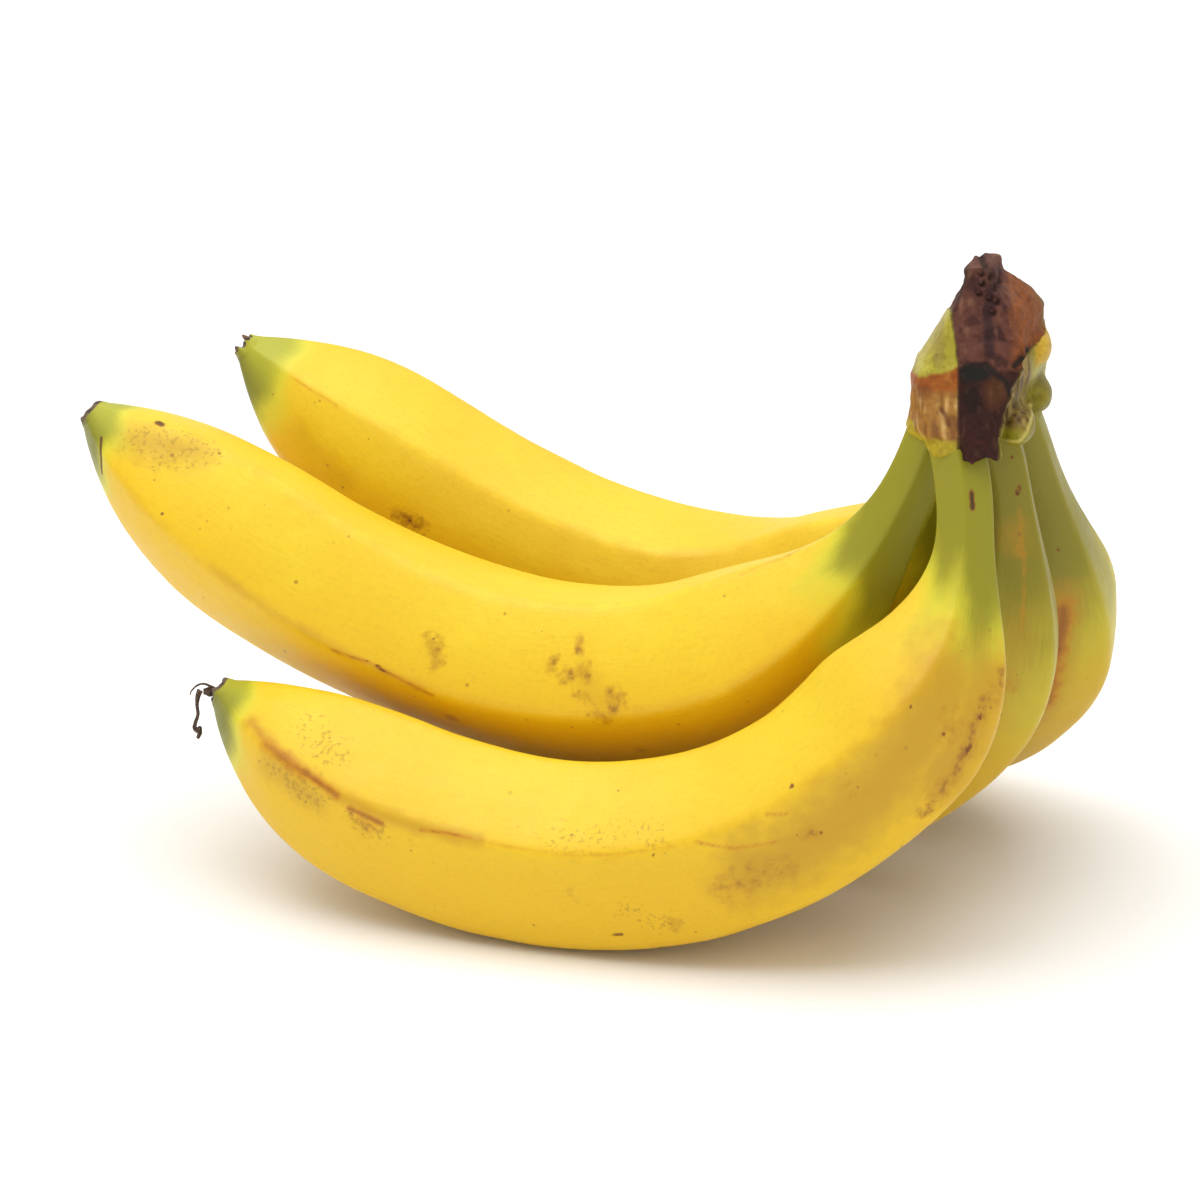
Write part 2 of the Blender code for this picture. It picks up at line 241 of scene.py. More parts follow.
CROWN_LOBES = (                      # soft lobes of torn skin on the right: centre and half sizes
    ((89.8, -40.0, 125.6), (3.6, 9.0, 4.2)),
    ((89.6, -41.0, 115.8), (4.2, 9.0, 4.0)),
    ((85.0, -55.0, 112.6), (4.2, 7.5, 4.4)),
)
TONGUE = (                           # the dried tongue over the front stalk, by height: left and right edges
    (106.8, 74.5, 79.0), (107.8, 73.0, 80.9), (113.8, 72.3, 81.1), (117.7, 72.3, 82.4), (121.6, 72.3, 83.6),
    (126.0, 72.3, 85.6), (132.0, 72.0, 86.5),
)
FLAP_EDGE = ((64.6, 117.2), (65.6, 116.5), (67.8, 113.9), (69.4, 111.9), (72.6, 110.7), (73.2, 110.7))

CAMERA_ELEVATION = 17.0
CAMERA_DISTANCE = 900.0
CAMERA_LENS = 128.25
SENSOR_WIDTH = 36.0
CAMERA_AIM = Vector((-0.5, -46.6, -1.0))     # from the middle of the bunch's box
ROOM_LIGHT = 0.68
FLOOR_HALF = 6.0             # metres
LIGHT_AIM = (0.0, 0.0, 0.05)
LIGHTS = (                   # name, place and size in metres, power in watts
    ("key", (-0.40, -0.30, 1.10), 0.9, 3.2),
    ("top", (0.0, 0.10, 2.40), 3.0, 46.0),
    ("fill", (-0.10, -1.60, 0.45), 1.0, 1.0))


# ------------------------------------------------------------
# Noise and small curves, all in numpy
# ------------------------------------------------------------
def lattice_value(cell, seed):
    """Repeatable value from 0 to 1 for whole-number lattice points."""
    mixed = (cell[..., 0] * 374761393 + cell[..., 1] * 668265263 + cell[..., 2] * 2147483647 + seed * 974711)
    mixed = (mixed ^ (mixed >> 13)) * 1274126177
    return ((mixed ^ (mixed >> 16)) & 0xFFFFFF) / float(0xFFFFFF)


def noise(points, size, seed):
    """Smooth noise from -1 to 1 with lumps of about the given size."""
    place = points / size
    cell = np.floor(place).astype(np.int64)
    t = place - cell
    t = t * t * (3.0 - 2.0 * t)
    total = 0.0
    for corner in range(8):
        step = np.array([corner & 1, corner >> 1 & 1, corner >> 2 & 1])
        weight = np.prod(np.where(step == 1, t, 1.0 - t), axis=-1)
        total = total + weight * lattice_value(cell + step, seed)
    return total * 2.0 - 1.0


def layered_noise(points, size, seed, layers=3):
    """Noise with finer layers added."""
    total = 0.0
    for i in range(layers):
        total = total + noise(points, size / 2.0 ** i, seed + 17 * i) / 2.0 ** i
    return total / 1.6


def ease(low, high, value):
    """0 below low, 1 above high, smooth between."""
    t = np.clip((value - low) / (high - low), 0.0, 1.0)
    return t * t * (3.0 - 2.0 * t)


def ease_twice(value):
    """Smooth step whose bend also starts and stops gently."""
    t = np.clip(value, 0.0, 1.0)
    return t * t * t * (t * (6.0 * t - 15.0) + 10.0)


def smooth_min(a, b, reach):
    """Union of two distances with a fillet."""
    h = np.clip(0.5 + 0.5 * (b - a) / reach, 0.0, 1.0)
    return b + (a - b) * h - reach * h * (1.0 - h)


def smooth_max(a, b, reach):
    """Intersection of two distances with a rounded edge."""
    return -smooth_min(-a, -b, reach)


# ------------------------------------------------------------
# Mesh and material helpers
# ------------------------------------------------------------
def add_mesh(name, points, quads, caps=()):
    """Smooth shaded mesh object from points in millimetres."""
    mesh = bpy.data.meshes.new(name)
    faces = [tuple(quad) for quad in quads.tolist()] + [tuple(cap) for cap in caps]
    mesh.from_pydata((points * MM).tolist(), [], faces)
    mesh.validate()
    mesh.shade_smooth()
    piece = bpy.data.objects.new(name, mesh)
    bpy.context.collection.objects.link(piece)
    return piece


def add_float(piece, name, values):
    """One number for each point, read by the materials."""
    layer = piece.data.attributes.new(name, "FLOAT", "POINT")
    layer.data.foreach_set("value", np.ascontiguousarray(values, dtype=np.float32))


def add_vector(piece, name, values):
    """Three numbers for each point, read by the materials."""
    layer = piece.data.attributes.new(name, "FLOAT_VECTOR", "POINT")
    layer.data.foreach_set("vector", np.ascontiguousarray(values, dtype=np.float32).ravel())


def add_colour(piece, name, values):
    """A colour for each point, read by the materials."""
    layer = piece.data.attributes.new(name, "FLOAT_COLOR", "POINT")
    rgba = np.ones((len(values), 4), dtype=np.float32)
    rgba[:, :3] = values
    layer.data.foreach_set("color", rgba.ravel())


class Nodes:
    """Short calls for building one material's node tree."""

    def __init__(self, name):
        self.material = bpy.data.materials.new(name)
        self.material.use_nodes = True
        self.tree = self.material.node_tree
        self.shader = self.tree.nodes["Principled BSDF"]

    def link(self, value, socket):
        """Set a socket to a plain value or to another node's output."""
        if isinstance(value, bpy.types.NodeSocket):
            self.tree.links.new(value, socket)
        else:
            socket.default_value = value

    def attribute(self, name, output="Fac"):
        node = self.tree.nodes.new("ShaderNodeAttribute")
        node.attribute_name = name
        return node.outputs[output]

    def place(self):
        """Place in the object's own space, in metres."""
        return self.tree.nodes.new("ShaderNodeTexCoord").outputs["Object"]

    def noise(self, vector, scale, detail=3.0, roughness=0.55):
        node = self.tree.nodes.new("ShaderNodeTexNoise")
        self.link(vector, node.inputs["Vector"])
        node.inputs["Scale"].default_value = scale
        node.inputs["Detail"].default_value = detail
        node.inputs["Roughness"].default_value = roughness
        return node.outputs["Fac"]

    def cells(self, vector, scale):
        """Distance to the nearest cell centre, and that cell's own random colour."""
        node = self.tree.nodes.new("ShaderNodeTexVoronoi")
        self.link(vector, node.inputs["Vector"])
        node.inputs["Scale"].default_value = scale
        return node.outputs["Distance"], node.outputs["Color"]

    def math(self, kind, a, b=0.0, clamp=False):
        node = self.tree.nodes.new("ShaderNodeMath")
        node.operation = kind
        node.use_clamp = clamp
        self.link(a, node.inputs[0])
        self.link(b, node.inputs[1])
        return node.outputs[0]

    def plus(self, a, b, clamp=False):
        return self.math("ADD", a, b, clamp)

    def minus(self, a, b):
        return self.math("SUBTRACT", a, b)

    def times(self, a, b):
        return self.math("MULTIPLY", a, b)

    def most(self, a, b):
        return self.math("MAXIMUM", a, b)

    def ramp(self, value, low, high, out_low=0.0, out_high=1.0):
        """Smooth step from out_low to out_high as value goes from low to high."""
        node = self.tree.nodes.new("ShaderNodeMapRange")
        node.interpolation_type = "SMOOTHSTEP"
        self.link(value, node.inputs["Value"])
        self.link(low, node.inputs["From Min"])
        self.link(high, node.inputs["From Max"])
        node.inputs["To Min"].default_value = out_low
        node.inputs["To Max"].default_value = out_high
        return node.outputs["Result"]

    def mix(self, factor, a, b, blend="MIX"):
        node = self.tree.nodes.new("ShaderNodeMix")
        node.data_type = "RGBA"
        node.blend_type = blend
        self.link(factor, node.inputs["Factor"])
        self.link(a, node.inputs[6])
        self.link(b, node.inputs[7])
        return node.outputs[2]

    def bump(self, height, strength, distance, normal=None):
        node = self.tree.nodes.new("ShaderNodeBump")
        node.inputs["Strength"].default_value = strength
        node.inputs["Distance"].default_value = distance
        self.link(height, node.inputs["Height"])
        if normal is not None:
            self.link(normal, node.inputs["Normal"])
        return node.outputs["Normal"]


def rgb(red, green, blue):
    """Opaque linear colour."""
    return (red, green, blue, 1.0)


# ------------------------------------------------------------
# The fruit
# ------------------------------------------------------------
def spine(fruit):
    """Points, directions and side of the middle line, as arrays over SPINE_STEPS + 1 places."""
    s = np.linspace(0.0, 1.0, SPINE_STEPS + 1)
    handles = fruit["climb"]
    order = len(handles) - 1
    angle = np.zeros_like(s)
    for i, handle in enumerate(handles):
        angle += math.comb(order, i) * s ** i * (1.0 - s) ** (order - i) * math.radians(handle)
    yaw = math.radians(fruit["yaw"])
    lean = math.radians(fruit["lean"])
    along = np.array([-math.cos(yaw), math.sin(yaw), 0.0])
    across = np.array([math.sin(yaw), math.cos(yaw), 0.0])
    up = np.array([0.0, 0.0, 1.0])
    lifted = up * math.cos(lean) + across * math.sin(lean)
    side = across * math.cos(lean) - up * math.sin(lean)
    directions = np.outer(np.cos(angle), along) + np.outer(np.sin(angle), lifted)
    steps = (directions[1:] + directions[:-1]) * (fruit["length"] / SPINE_STEPS / 2.0)
    start = np.array(fruit["root"]) - np.array(MIDDLE)
    points = np.vstack([start, start + np.cumsum(steps, axis=0)])
    return s, points, directions, side


def girth(fruit, s):
    """Mean radius at places s."""
    neck_start, neck_end = fruit["neck"]
    neck = STALK_SHARE + (1.0 - STALK_SHARE) * ease_twice((s - neck_start) / (neck_end - neck_start))
    t = np.clip((s - TIP_START) / (1.0 - TIP_START), 0.0, 1.0)
    return fruit["radius"] * neck * (1.0 - (1.0 - TIP_SHARE) * t ** TIP_POWER)


def ridge_profile():
    """Radius factor round a five-sided section with softened corners, for turns 0 to 360 from a ridge."""
    turn = np.radians(np.arange(720) / 2.0)
    from_face = np.mod(turn, 2.0 * math.pi / 5.0) - math.pi / 5.0
    sharp = 1.0 / np.cos(from_face)
    kernel = np.exp(-0.5 * (np.arange(-40, 41) / 7.0) ** 2)
    kernel /= kernel.sum()
    soft = np.convolve(np.concatenate([sharp[-40:], sharp, sharp[:40]]), kernel, mode="valid")
    return soft - soft.mean()


RIDGE_PROFILE = ridge_profile()
RIDGE_HEIGHT = 0.56          # share of a full pentagon


def ridge_factor(turn_degrees, strength):
    """Radius factor at turns measured from a ridge."""
    place = np.mod(turn_degrees, 360.0) * 2.0
    low = np.floor(place).astype(int) % 720
    t = place - np.floor(place)
    value = RIDGE_PROFILE[low] * (1.0 - t) + RIDGE_PROFILE[(low + 1) % 720] * t
    return 1.0 + RIDGE_HEIGHT * strength * value


def tip_profile():
    """Steps past the end of the spine, as (distance along, radius, brownness), in mm."""
    return (
        (0.25, 3.74, 0.1), (0.50, 3.60, 0.3), (0.75, 3.40, 0.5), (0.95, 3.22, 0.7), (1.15, 3.08, 0.9),
        (1.35, 2.95, 1.0), (1.50, 2.76, 1.0), (1.56, 2.50, 1.0), (1.48, 2.20, 1.0), (1.25, 1.85, 1.0),
        (1.00, 1.45, 1.0), (0.85, 1.00, 1.0), (0.80, 0.50, 1.0),
    )


def wrap_turn(turn):
    """Turn difference brought into -180 to 180."""
    return np.mod(turn + 180.0, 360.0) - 180.0


def mark_field(marks, s, turn, radius, length, ragged):
    """Highest mark at each point: 1 in the middle of a full-strength mark, 0 at its edge."""
    field = np.zeros_like(s)
    for width, strength, *route in marks:
        for (s0, a0), (s1, a1) in zip(route, route[1:] or route):
            ax, ay = (s - s0) * length, np.radians(wrap_turn(turn - a0)) * radius
            bx, by = (s1 - s0) * length, np.radians(a1 - a0) * radius
            t = np.clip((ax * bx + ay * by) / np.maximum(bx * bx + by * by, 1e-6), 0.0, 1.0)
            gap = np.hypot(ax - bx * t, ay - by * t) / width
            field = np.maximum(field, strength * (1.0 - gap * (1.0 + 0.35 * ragged)))
    return np.clip(field, 0.0, 1.0)


def fruit_grid(name, fruit):
    """All points of one fruit with their place, turn, radius and brownness."""
    share = 1.0 - (1.0 - np.linspace(0.0, 1.0, RINGS + 1)) ** RING_CROWDING
    s, points, directions, side = spine(fruit)
    centre = np.stack([np.interp(share, s, points[:, k]) for k in range(3)], axis=1)
    heading = np.stack([np.interp(share, s, directions[:, k]) for k in range(3)], axis=1)
    radius = girth(fruit, share)
    brown = np.zeros(RINGS + 1)
    for along, size, brownness in tip_profile():
        centre = np.vstack([centre, points[-1] + directions[-1] * along])
        heading = np.vstack([heading, directions[-1]])
        radius = np.append(radius, size)
        share = np.append(share, 1.0)
        brown = np.append(brown, brownness)
    inward = np.cross(side, heading)
    turn = np.arange(SEGMENTS) * 360.0 / SEGMENTS
    roll = np.interp(share, *zip(*fruit["rolls"]))
    strength = 1.0 + 0.35 * ease(0.40, 0.22, share) - 0.45 * ease(0.10, 0.02, share)
    strength = strength * (1.0 - 0.6 * brown)
    factor = ridge_factor(turn[None, :] - roll[:, None], strength[:, None])
    reach = radius[:, None] * factor
    angle = np.radians(turn)
    outward = (inward[:, None, :] * np.cos(angle)[None, :, None]
               - side[None, None, :] * np.sin(angle)[None, :, None])
    grid = centre[:, None, :] + outward * reach[..., None]
    lobes = np.zeros((len(share), SEGMENTS))
    rim_brown, tip_lobes = TIP_LOBES[name]
    for lobe_turn, height, spread in tip_lobes:
        bell = np.exp(-(wrap_turn(turn - lobe_turn) / spread) ** 2)
        lobes += height * bell[None, :] * brown[:, None] * ease(1.2, 2.4, radius)[:, None]
    grid = grid + heading[:, None, :] * lobes[..., None]
    shape = grid.shape[:2]
    flat = {
        "points": grid.reshape(-1, 3), "outward": outward.reshape(-1, 3),
        "s": np.repeat(share, SEGMENTS), "turn": np.tile(turn, shape[0]),
        "radius": reach.reshape(-1), "brown": np.repeat(brown, SEGMENTS), "roll": np.repeat(roll, SEGMENTS),
        "lobes": lobes.reshape(-1), "rim_brown": rim_brown,
    }
    return shape, flat


def grid_faces(rows, columns):
    """Quads of a tube and its two end caps."""
    low = np.arange(columns)
    high = np.roll(low, -1)
    base = (np.arange(rows - 1) * columns)[:, None]
    quads = np.stack([base + low, base + columns + low, base + columns + high, base + high], axis=-1)
    first = list(range(columns))
    last = [(rows - 1) * columns + j for j in range(columns)][::-1]
    return quads.reshape(-1, 4), (first, last)


def make_fruit(name, fruit):
    """One banana as a dense skin with the fields that its material reads."""
    shape, flat = fruit_grid(name, fruit)
    points = flat["points"]
    seed = fruit["seed"]
    body = 1.0 - flat["brown"]
    lumps = 0.30 * noise(points, 26.0, seed) + 0.16 * noise(points, 11.0, seed + 5) * body
    lumps += 0.05 * layered_noise(points, 3.2, seed + 9) * body
    lumps += flat["brown"] * 0.35 * layered_noise(points, 1.3, seed + 13)
    lumps *= np.clip(flat["radius"] / 12.0, 0.35, 1.0)
    points = points + flat["outward"] * lumps[:, None]
    points = seat(name, points)
    quads, caps = grid_faces(*shape)
    piece = add_mesh(name + "_skin", points, quads, caps)
    add_fruit_fields(piece, name, fruit, flat, points)
    piece.data.materials.append(skin_material(name, fruit))
    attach(piece, "root")
    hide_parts(name)
    return piece


def seat(name, points):
    """Bring the skin to the place and height that the frame gives, and press it flat where it rests."""
    if name in RESTING:
        floor = (np.array(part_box(name)[0]) / MM)[2]
        own_low = points[:, 2].min()
        points = points + np.array([0.0, 0.0, floor - PRESS - own_low])
        points[:, 2] = np.maximum(points[:, 2], floor)
    return points


def add_fruit_fields(piece, name, fruit, flat, points):
    """Per-point numbers: how green, marked, brown and worn the skin is, and how far it faces the inside of the
    bend, which faces up and carries painted light and shade.
    """
    s, turn, radius = flat["s"], flat["turn"], flat["radius"]
    length, seed = fruit["length"], fruit["seed"]
    from_ridge = np.cos(np.radians(5.0 * (turn - flat["roll"])))
    wave = layered_noise(points, 9.0, seed + 40)
    ragged = layered_noise(points, 2.2, seed + 60)
    for kind, marks in MARKS[name].items():
        add_float(piece, kind, mark_field(marks, s, turn, radius, length, ragged))
    neck_low, neck_high, tip_green = fruit["green"]
    under = 0.5 - 0.5 * np.cos(np.radians(turn))
    neck = 1.0 - ease(neck_low, neck_high, s - 0.05 * under + 0.022 * wave + 0.012 * from_ridge)
    from_tip = (1.0 - s) * length
    edge = tip_green * (0.75 + 0.75 * under) * (1.0 + 0.25 * wave) - 1.5 * from_ridge
    tip = 1.0 - ease(0.15, 1.0, from_tip / np.maximum(edge, 1.0))
    rim = flat["rim_brown"]
    cap = np.maximum(ease(0.05, 1.0, flat["brown"]) * rim, ease(0.8, 1.5, flat["lobes"]))
    cap = np.maximum(cap, ease(3.0, 2.2, radius) * flat["brown"])
    add_float(piece, "neck_green", neck)
    add_float(piece, "tip_green", tip)
    add_float(piece, "brown", np.maximum(cap, ease(1.2, 0.0, from_tip) * (0.4 + 0.45 * wave) * rim))
    add_float(piece, "ridge", ease(0.80, 1.0, from_ridge + 0.05 * wave))
    # inside: 1 on the inside of the bend, which faces up. The skin material paints light there and shade on the
    # outer side.
    add_float(piece, "inside", 1.0 - under)
    around = np.radians(turn)
    lengthwise = np.stack([np.cos(around), np.sin(around), s * length / fruit["radius"] * 0.12], axis=1)
    add_vector(piece, "fibre", lengthwise)


def skin_material(name, fruit):
    """Waxy ripe skin: yellow with green ends, freckles, bruises and scuffs, with painted light on the upper
    side and painted shade on the lower side.
    """
    n = Nodes(name + "_skin")
    place = n.place()
    fibre = n.attribute("fibre", "Vector")
    broad = n.noise(place, 38.0, 2.0)
    patch = n.noise(place, 130.0, 4.0)
    fleck = n.noise(place, 430.0, 5.0, 0.62)
    fine = n.noise(place, 1000.0, 3.0)
    strand = n.noise(fibre, 34.0, 3.0)

    # Painted light and shade: lighter yellow on the inside of the bend, which faces up, and deeper golden
    # towards the outer side below.
    inside = n.ramp(n.attribute("inside"), 0.30, 0.95)
    yellow = n.mix(inside, rgb(0.80, 0.500, 0.005), rgb(0.84, 0.605, 0.020))
    varied = n.mix(n.ramp(broad, 0.30, 0.70, 0.0, 0.35), yellow, rgb(0.77, 0.455, 0.005))
    dulled = n.mix(fruit["dull"], varied, rgb(0.48, 0.315, 0.018))
    strandy = n.mix(n.ramp(strand, 0.40, 0.75, 0.0, 0.12), dulled, rgb(0.58, 0.33, 0.008))
    mottled = n.mix(n.ramp(fine, 0.48, 0.72, 0.0, 0.14), strandy, rgb(0.54, 0.29, 0.008))
    ridge = n.times(n.attribute("ridge"), n.ramp(patch, 0.40, 0.62, 0.0, 0.17))
    ridged = n.mix(ridge, mottled, rgb(0.60, 0.29, 0.008))

    with_neck = green_end(n, ridged, n.attribute("neck_green"), strand,
                          n.mix(fruit["dull"], rgb(0.66, 0.585, 0.026), rgb(0.46, 0.330, 0.018)),
                          n.mix(fruit["dull"], rgb(0.285, 0.262, 0.008), rgb(0.235, 0.175, 0.008)))
    # The deep tip green is painted lighter on the inside of the bend and darker below: painted light and shade.
    with_tip = green_end(n, with_neck, n.attribute("tip_green"), strand, rgb(0.66, 0.590, 0.030),
                         n.mix(inside, rgb(0.200, 0.195, 0.008), rgb(0.420, 0.410, 0.025)))

    colour = add_blemishes(n, with_tip, place, patch, fleck, fine)
    dark = n.attribute("dark")
    ragged = n.plus(dark, n.times(n.minus(n.noise(place, 900.0, 3.0), 0.5), 0.5))
    dark_mask = n.times(n.ramp(ragged, 0.20, 0.46), n.ramp(dark, 0.0, 0.12))
    dark_colour = n.mix(n.ramp(dark, 0.40, 0.85), rgb(0.24, 0.080, 0.008), rgb(0.045, 0.014, 0.006))
    spotted = n.mix(n.times(dark_mask, 0.9), colour, dark_colour)
    brown = n.attribute("brown")
    dried = n.mix(n.ramp(n.noise(place, 700.0, 4.0), 0.38, 0.66),
                  rgb(0.060, 0.038, 0.026), rgb(0.175, 0.120, 0.078))
    brown_mask = n.ramp(n.plus(brown, n.times(n.minus(fleck, 0.5), 0.4)), 0.35, 0.60)
    n.link(n.mix(brown_mask, spotted, dried), n.shader.inputs["Base Color"])

    polish = n.ramp(n.noise(place, 210.0, 3.0), 0.30, 0.70, 0.40, 0.50)
    worn = n.plus(polish, n.times(dark_mask, 0.22))
    n.link(n.plus(worn, n.times(brown_mask, 0.35), True), n.shader.inputs["Roughness"])
    wavy = n.bump(n.noise(place, 130.0, 2.0), 0.14, 0.0012)
    pored = n.bump(fine, 0.10, 0.00022, wavy)
    lined = n.bump(strand, 0.14, 0.0004, pored)
    n.link(n.bump(n.minus(1.0, dark_mask), 0.35, 0.0003, lined), n.shader.inputs["Normal"])
    n.shader.inputs["Specular IOR Level"].default_value = 0.38
    n.shader.inputs["Subsurface Weight"].default_value = 0.16
    n.shader.inputs["Subsurface Radius"].default_value = (1.0, 0.55, 0.10)
    n.shader.inputs["Subsurface Scale"].default_value = 0.003
    return n.material


def green_end(n, base, amount, strand, pale, deep):
    """Unripe end of a fruit, going from yellow through pale green to deep green along its strands."""
    streaky = n.times(n.minus(strand, 0.5), 0.24)
    reach = n.plus(amount, n.times(streaky, n.ramp(amount, 0.02, 0.5)), True)
    green = n.mix(n.ramp(reach, 0.35, 0.95), pale, deep)
    return n.mix(n.ramp(reach, 0.0, 0.55), base, green)


def add_blemishes(n, base, place, patch, fleck, fine):
    """Tan areas, flecked bruises, scuffs, crazing and freckles over the clean skin."""
    tan = n.attribute("tan")
    uneven = n.plus(tan, n.times(n.minus(patch, 0.5), 0.3))
    tan_mask = n.times(n.ramp(uneven, 0.05, 0.75), n.ramp(tan, 0.0, 0.3))
    tanned = n.mix(n.times(tan_mask, 0.75), base, rgb(0.50, 0.265, 0.010))

    bruise = n.attribute("bruise")
    broken = n.plus(n.times(bruise, 0.8), n.times(n.minus(fleck, 0.5), 2.2))
    near = n.ramp(bruise, 0.0, 0.2)
    halo = n.times(n.times(n.ramp(broken, 0.05, 0.60), near), 0.62)
    heart = n.times(n.times(n.ramp(broken, 0.52, 0.85), near), 0.62)
    bruised = n.mix(heart, n.mix(halo, tanned, rgb(0.50, 0.250, 0.006)), rgb(0.25, 0.095, 0.008))

    rust = n.attribute("rust")
    scuff = n.plus(rust, n.times(n.minus(fleck, 0.5), 0.7))
    rust_mask = n.times(n.ramp(scuff, 0.08, 0.70), n.ramp(rust, 0.0, 0.2))
    rust_colour = n.mix(n.ramp(scuff, 0.35, 0.95), rgb(0.58, 0.235, 0.005), rgb(0.31, 0.085, 0.006))
    rusty = n.mix(n.times(rust_mask, 0.80), bruised, rust_colour)

    cracks = n.attribute("cracks")
    crazed = n.plus(fine, n.times(cracks, 0.12))
    craze_mask = n.times(n.ramp(crazed, 0.60, 0.67), n.ramp(cracks, 0.0, 0.25))
    crazy = n.mix(n.times(craze_mask, 0.45), rusty, rgb(0.36, 0.195, 0.008))
    return n.mix(freckle_mask(n, place, n.most(bruise, cracks)), crazy, rgb(0.30, 0.130, 0.010))


def freckle_mask(n, place, extra):
    """Small brown specks, sparse on clean skin and dense where it is marked."""
    distance, cell = n.cells(place, 620.0)
    chance = n.tree.nodes.new("ShaderNodeSeparateColor")
    n.link(cell, chance.inputs["Color"])
    wanted = n.plus(0.024, n.times(extra, 0.30))
    chosen = n.math("LESS_THAN", chance.outputs["Red"], wanted)
    size = n.plus(0.10, n.times(chance.outputs["Green"], 0.24))
    dot = n.ramp(n.minus(size, distance), 0.0, 0.08)
    depth = n.plus(0.20, n.times(chance.outputs["Blue"], 0.45))
    return n.times(n.times(dot, chosen), depth)


# ------------------------------------------------------------
# The crown, grown as one smooth field and skinned
# ------------------------------------------------------------
def surface_net(field, low, step):
    """Closed quad skin of the places where the field changes sign."""
    inside = field < 0.0
    cells = tuple(size - 1 for size in field.shape)
    total = np.zeros(cells + (3,), dtype=np.float32)
    count = np.zeros(cells, dtype=np.int32)
    corners = [np.array([i, j, k]) for i in (0, 1) for j in (0, 1) for k in (0, 1)]

    def at(array, corner):
        return array[tuple(slice(corner[d], corner[d] + cells[d]) for d in range(3))]

    for a in corners:
        for d in range(3):
            if a[d] == 1:
                continue
            b = a.copy()
            b[d] = 1
            fa, fb = at(field, a), at(field, b)
            cross = at(inside, a) != at(inside, b)
            t = np.where(cross, fa / np.where(cross, fa - fb, 1.0), 0.0)
            for e in range(3):
                total[..., e] += np.where(cross, a[e] + (t if e == d else 0.0), 0.0)
            count += cross
    used = count > 0
    number = np.full(cells, -1, dtype=np.int64)
    number[used] = np.arange(used.sum())
    places = np.argwhere(used) + total[used] / count[used][:, None]
    points = np.array(low) + places * step
    quads = []
    for d in range(3):
        u, v = (d + 1) % 3, (d + 2) % 3
        first = np.take(inside, range(0, inside.shape[d] - 1), axis=d)
        second = np.take(inside, range(1, inside.shape[d]), axis=d)
        edges = np.argwhere(first != second)
        within = (edges[:, u] > 0) & (edges[:, v] > 0) & (edges[:, u] < cells[u]) & (edges[:, v] < cells[v])
        edges = edges[within]
        back_u, back_v = np.eye(3, dtype=int)[u], np.eye(3, dtype=int)[v]
        ring = [edges, edges - back_u, edges - back_u - back_v, edges - back_v]
        quad = np.stack([number[tuple(cell.T)] for cell in ring], axis=1)
        flip = ~inside[tuple(edges.T)]
        quad[flip] = quad[flip][:, ::-1]
        quads.append(quad)
    return points, np.concatenate(quads)


def crown_field(x, y, z):
    """Distance-like value, negative inside the crown."""
    heights = [section[0] for section in CROWN_SECTIONS]
    columns = [np.interp(z, heights, [section[k] for section in CROWN_SECTIONS]) for k in range(1, 5)]
    middle_x, middle_y, half_width, half_depth = columns
    thickness = np.sqrt(np.maximum(half_width ** 2 - (CROWN_SHEAR * half_depth) ** 2, 1.0))
    v = y - middle_y
    u = x - middle_x - CROWN_SHEAR * v
    oval = (np.abs(u / thickness) ** CROWN_POWER
            + np.abs(v / half_depth) ** CROWN_POWER) ** (1.0 / CROWN_POWER)
    body = (oval - 1.0) * np.minimum(thickness, half_depth) * 0.85
    body = smooth_max(body, 110.5 - z, 3.0)
    for centre, half in CROWN_LOBES:
        rx, ry, rz = (x - centre[0]) / half[0], (y - centre[1]) / half[1], (z - centre[2]) / half[2]
        lobe = (np.sqrt(rx * rx + ry * ry + rz * rz) - 1.0) * min(half)
        body = smooth_min(body, lobe, 1.2)
    for name, (reach, extra) in COLLAR_REACH.items():
        body = smooth_min(body, collar_field(x, y, z, FRUITS[name], reach, extra), 1.6)
    body = smooth_min(body, tongue_field(x, y, z), 0.8)
    body = smooth_min(body, flap_field(x, y, z), 0.8)
    normal = np.array(CUT_NORMAL) / np.linalg.norm(CUT_NORMAL)
    cut = (x - CUT_POINT[0]) * normal[0] + (y - CUT_POINT[1]) * normal[1] + (z - CUT_POINT[2]) * normal[2]
    body = smooth_max(body, cut, 1.0)
    return smooth_max(body, z - CROWN_TOP, 0.5)


def tongue_field(x, y, z):
    """Slab of dried stem that hangs over the front stalk."""
    heights, lefts, rights = zip(*TONGUE)
    z = z + 0.50 * np.sin(1.1 * x + 0.6) + 0.14 * np.sin(3.1 * x + 1.0)
    x = x + 0.22 * np.sin(1.3 * z) + 0.14 * np.sin(2.9 * z + 2.0)
    sides = np.maximum(np.interp(z, heights, lefts) - x, x - np.interp(z, heights, rights))
    return smooth_max(smooth_max(sides, TONGUE[0][0] + 0.8 - z, 0.8), np.maximum(y + 50.0, z - 132.0), 1.0)


def flap_field(x, y, z):
    """Slab of torn skin to the left of the tongue."""
    z = z + 0.35 * np.sin(1.9 * x) + 0.20 * np.sin(4.3 * x + 1.0)
    low = np.interp(x, *zip(*FLAP_EDGE))
    sides = smooth_max(FLAP_EDGE[0][0] - x, x - FLAP_EDGE[-1][0], 0.8)
    ends = smooth_max((low - z) * 0.8, z - 126.0, 0.8)
    front = -66.0 - (z - 112.0) * -0.25 - y
    return smooth_max(smooth_max(sides, ends, 1.0), np.maximum(front, y + 50.0), 1.0)


